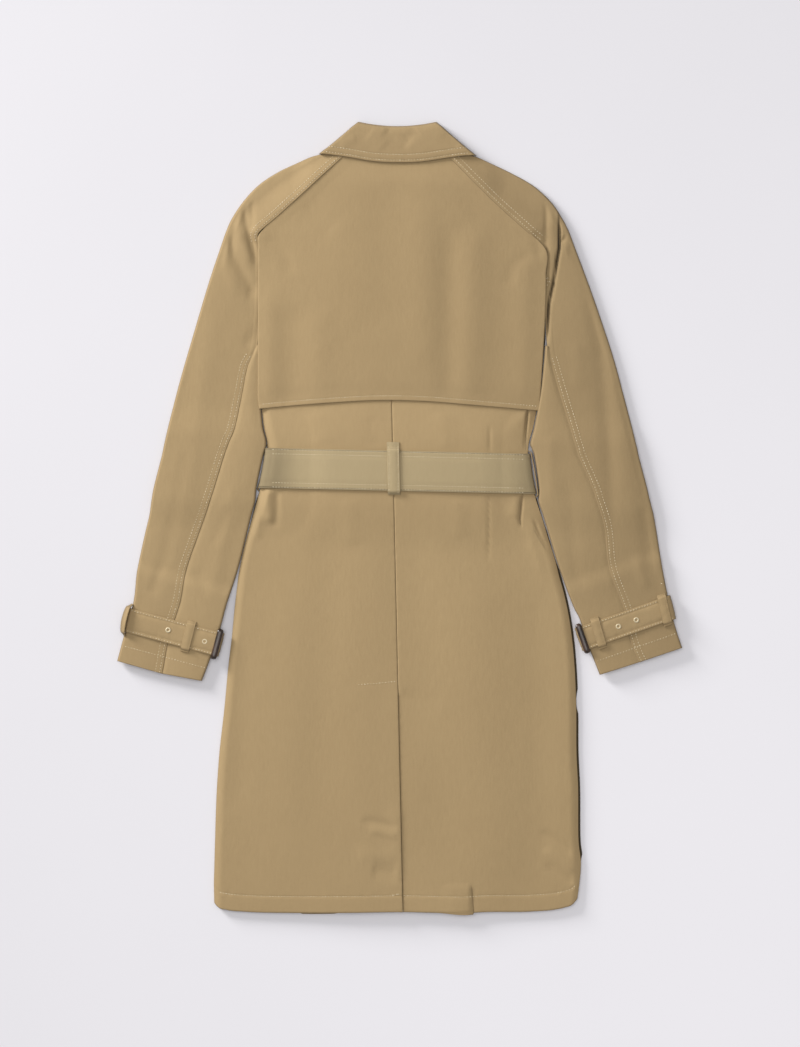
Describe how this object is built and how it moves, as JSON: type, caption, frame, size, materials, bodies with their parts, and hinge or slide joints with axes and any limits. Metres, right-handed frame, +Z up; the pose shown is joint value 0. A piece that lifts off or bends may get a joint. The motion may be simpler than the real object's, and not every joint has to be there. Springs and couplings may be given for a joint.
{
  "type": "trench coat",
  "caption": "Belted trench coat laid flat on its front: raglan sleeves, storm flap over the back, folded collar, cuff straps with buckles, back vent.",
  "frame": {"origin": "on the surface the coat lies on, under the middle of its footprint", "axes": "+Z up from the surface, +Y towards the collar, +X towards the wearer's right sleeve (the back faces up)"},
  "size_m": [0.7906, 1.111, 0.02],
  "materials": {
    "gabardine": "matte",
    "belt_cloth": "matte",
    "brown_horn": "satin",
    "cream_metal": "satin",
    "thread": "matte"
  },
  "bodies": {
    "root": {"front_right": "gabardine", "front_left": "gabardine", "back_left": "gabardine", "back_right": "gabardine", "vent_underlap": "gabardine", "back_yoke": "gabardine", "sleeve_left_upper": "gabardine", "sleeve_left_under": "gabardine", "sleeve_right_upper": "gabardine", "sleeve_right_under": "gabardine", "cuff_strap_left": "gabardine", "cuff_loop_left_back": "gabardine", "cuff_loop_left_outer": "gabardine", "cuff_strap_right": "gabardine", "cuff_loop_right_back": "gabardine", "cuff_loop_right_outer": "gabardine", "belt_loop_back": "gabardine", "belt_loop_right": "gabardine", "belt_loop_left": "gabardine", "collar_fall": "gabardine", "collar_stand": "gabardine", "belt": "belt_cloth", "cuff_buckle_left": "brown_horn", "cuff_buckle_right": "brown_horn", "belt_buckle": "brown_horn", "front_button_1": "brown_horn", "front_button_2": "brown_horn", "front_button_3": "brown_horn", "front_button_4": "brown_horn", "front_button_5": "brown_horn", "eyelet_left_1": "cream_metal", "eyelet_left_2": "cream_metal", "eyelet_right_1": "cream_metal", "eyelet_right_2": "cream_metal"}
  },
  "joints": []
}
